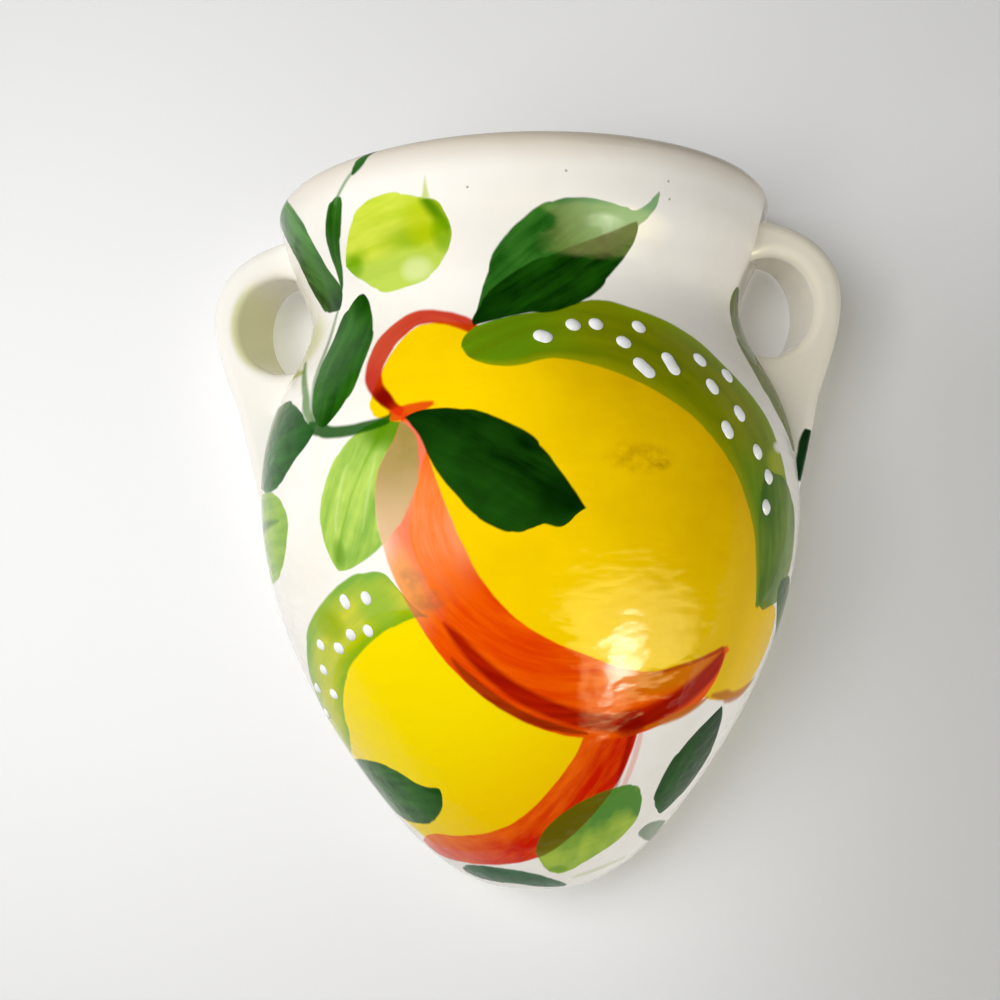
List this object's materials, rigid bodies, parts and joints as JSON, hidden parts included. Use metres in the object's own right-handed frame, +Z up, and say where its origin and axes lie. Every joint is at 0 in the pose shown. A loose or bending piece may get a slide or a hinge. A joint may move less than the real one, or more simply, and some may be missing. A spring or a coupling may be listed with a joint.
{
  "type": "wall vase",
  "caption": "Half-round glazed ceramic amphora on a flat back slab with ear handles, painted with lemons and leaves; hangs on a wall hook through a hole and holds flowers or dry stems",
  "frame": {"origin": "centre of the hanging hole on the wall plane, which is the back face of the slab", "axes": "+Z up towards the mouth, +Y into the wall that it hangs on, -Y out of the painted front, +X to the right seen from the front"},
  "size_m": [0.1662, 0.0792, 0.181],
  "materials": {
    "painted_glaze": "gloss white glaze with hand painted lemons and leaves",
    "white_glaze": "gloss white glaze",
    "enamel": "raised gloss white enamel"
  },
  "bodies": {
    "root": {"front_shell": "painted_glaze", "back_slab": "white_glaze", "left_handle": "white_glaze", "right_handle": "white_glaze", "large_lemon_dots": "enamel", "small_lemon_dots": "enamel"}
  },
  "joints": []
}
